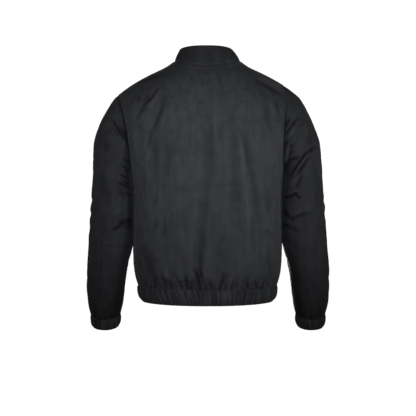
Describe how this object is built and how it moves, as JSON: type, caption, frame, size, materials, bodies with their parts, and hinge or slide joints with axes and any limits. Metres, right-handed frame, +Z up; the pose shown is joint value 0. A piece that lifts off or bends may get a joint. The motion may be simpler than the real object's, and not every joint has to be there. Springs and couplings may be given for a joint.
{
  "type": "harrington jacket",
  "caption": "Plain black harrington jacket filled out as worn: stand collar, zipped front, set-in sleeves, gathered elastic hem band and cuffs, open at neck, hem and wrists",
  "frame": {"origin": "the middle of the neck opening, level with the two neck points, where the wearer's neck comes through", "axes": "+Z up, -Y out of the jacket's front, +X to the wearer's left"},
  "size_m": [0.677, 0.2602, 0.7843],
  "materials": {
    "shell_cloth": "matt black cotton twill with a faint satin sheen",
    "elastic_band": "the same black cloth gathered on elastic",
    "zip_tape": "black woven tape",
    "zip_metal": "black enamelled metal"
  },
  "bodies": {
    "jacket": {"back": "shell_cloth", "front_left": "shell_cloth", "front_right": "shell_cloth", "sleeve_left": "shell_cloth", "sleeve_right": "shell_cloth", "collar": "shell_cloth", "hem_band": "elastic_band", "cuff_left": "elastic_band", "cuff_right": "elastic_band", "zip_tape_left": "zip_tape", "zip_tape_right": "zip_tape", "zip_chain": "zip_metal", "zip_slider": "zip_metal"},
    "zip_pull": {"zip_pull": "zip_metal"}
  },
  "joints": [
    {"name": "pull_hinge", "type": "hinge", "parent": "jacket", "child": "zip_pull", "pos_m": [0, -0.08206, -0.03827], "axis": [-1, 0, 0], "range_deg": [0, 170]}
  ]
}
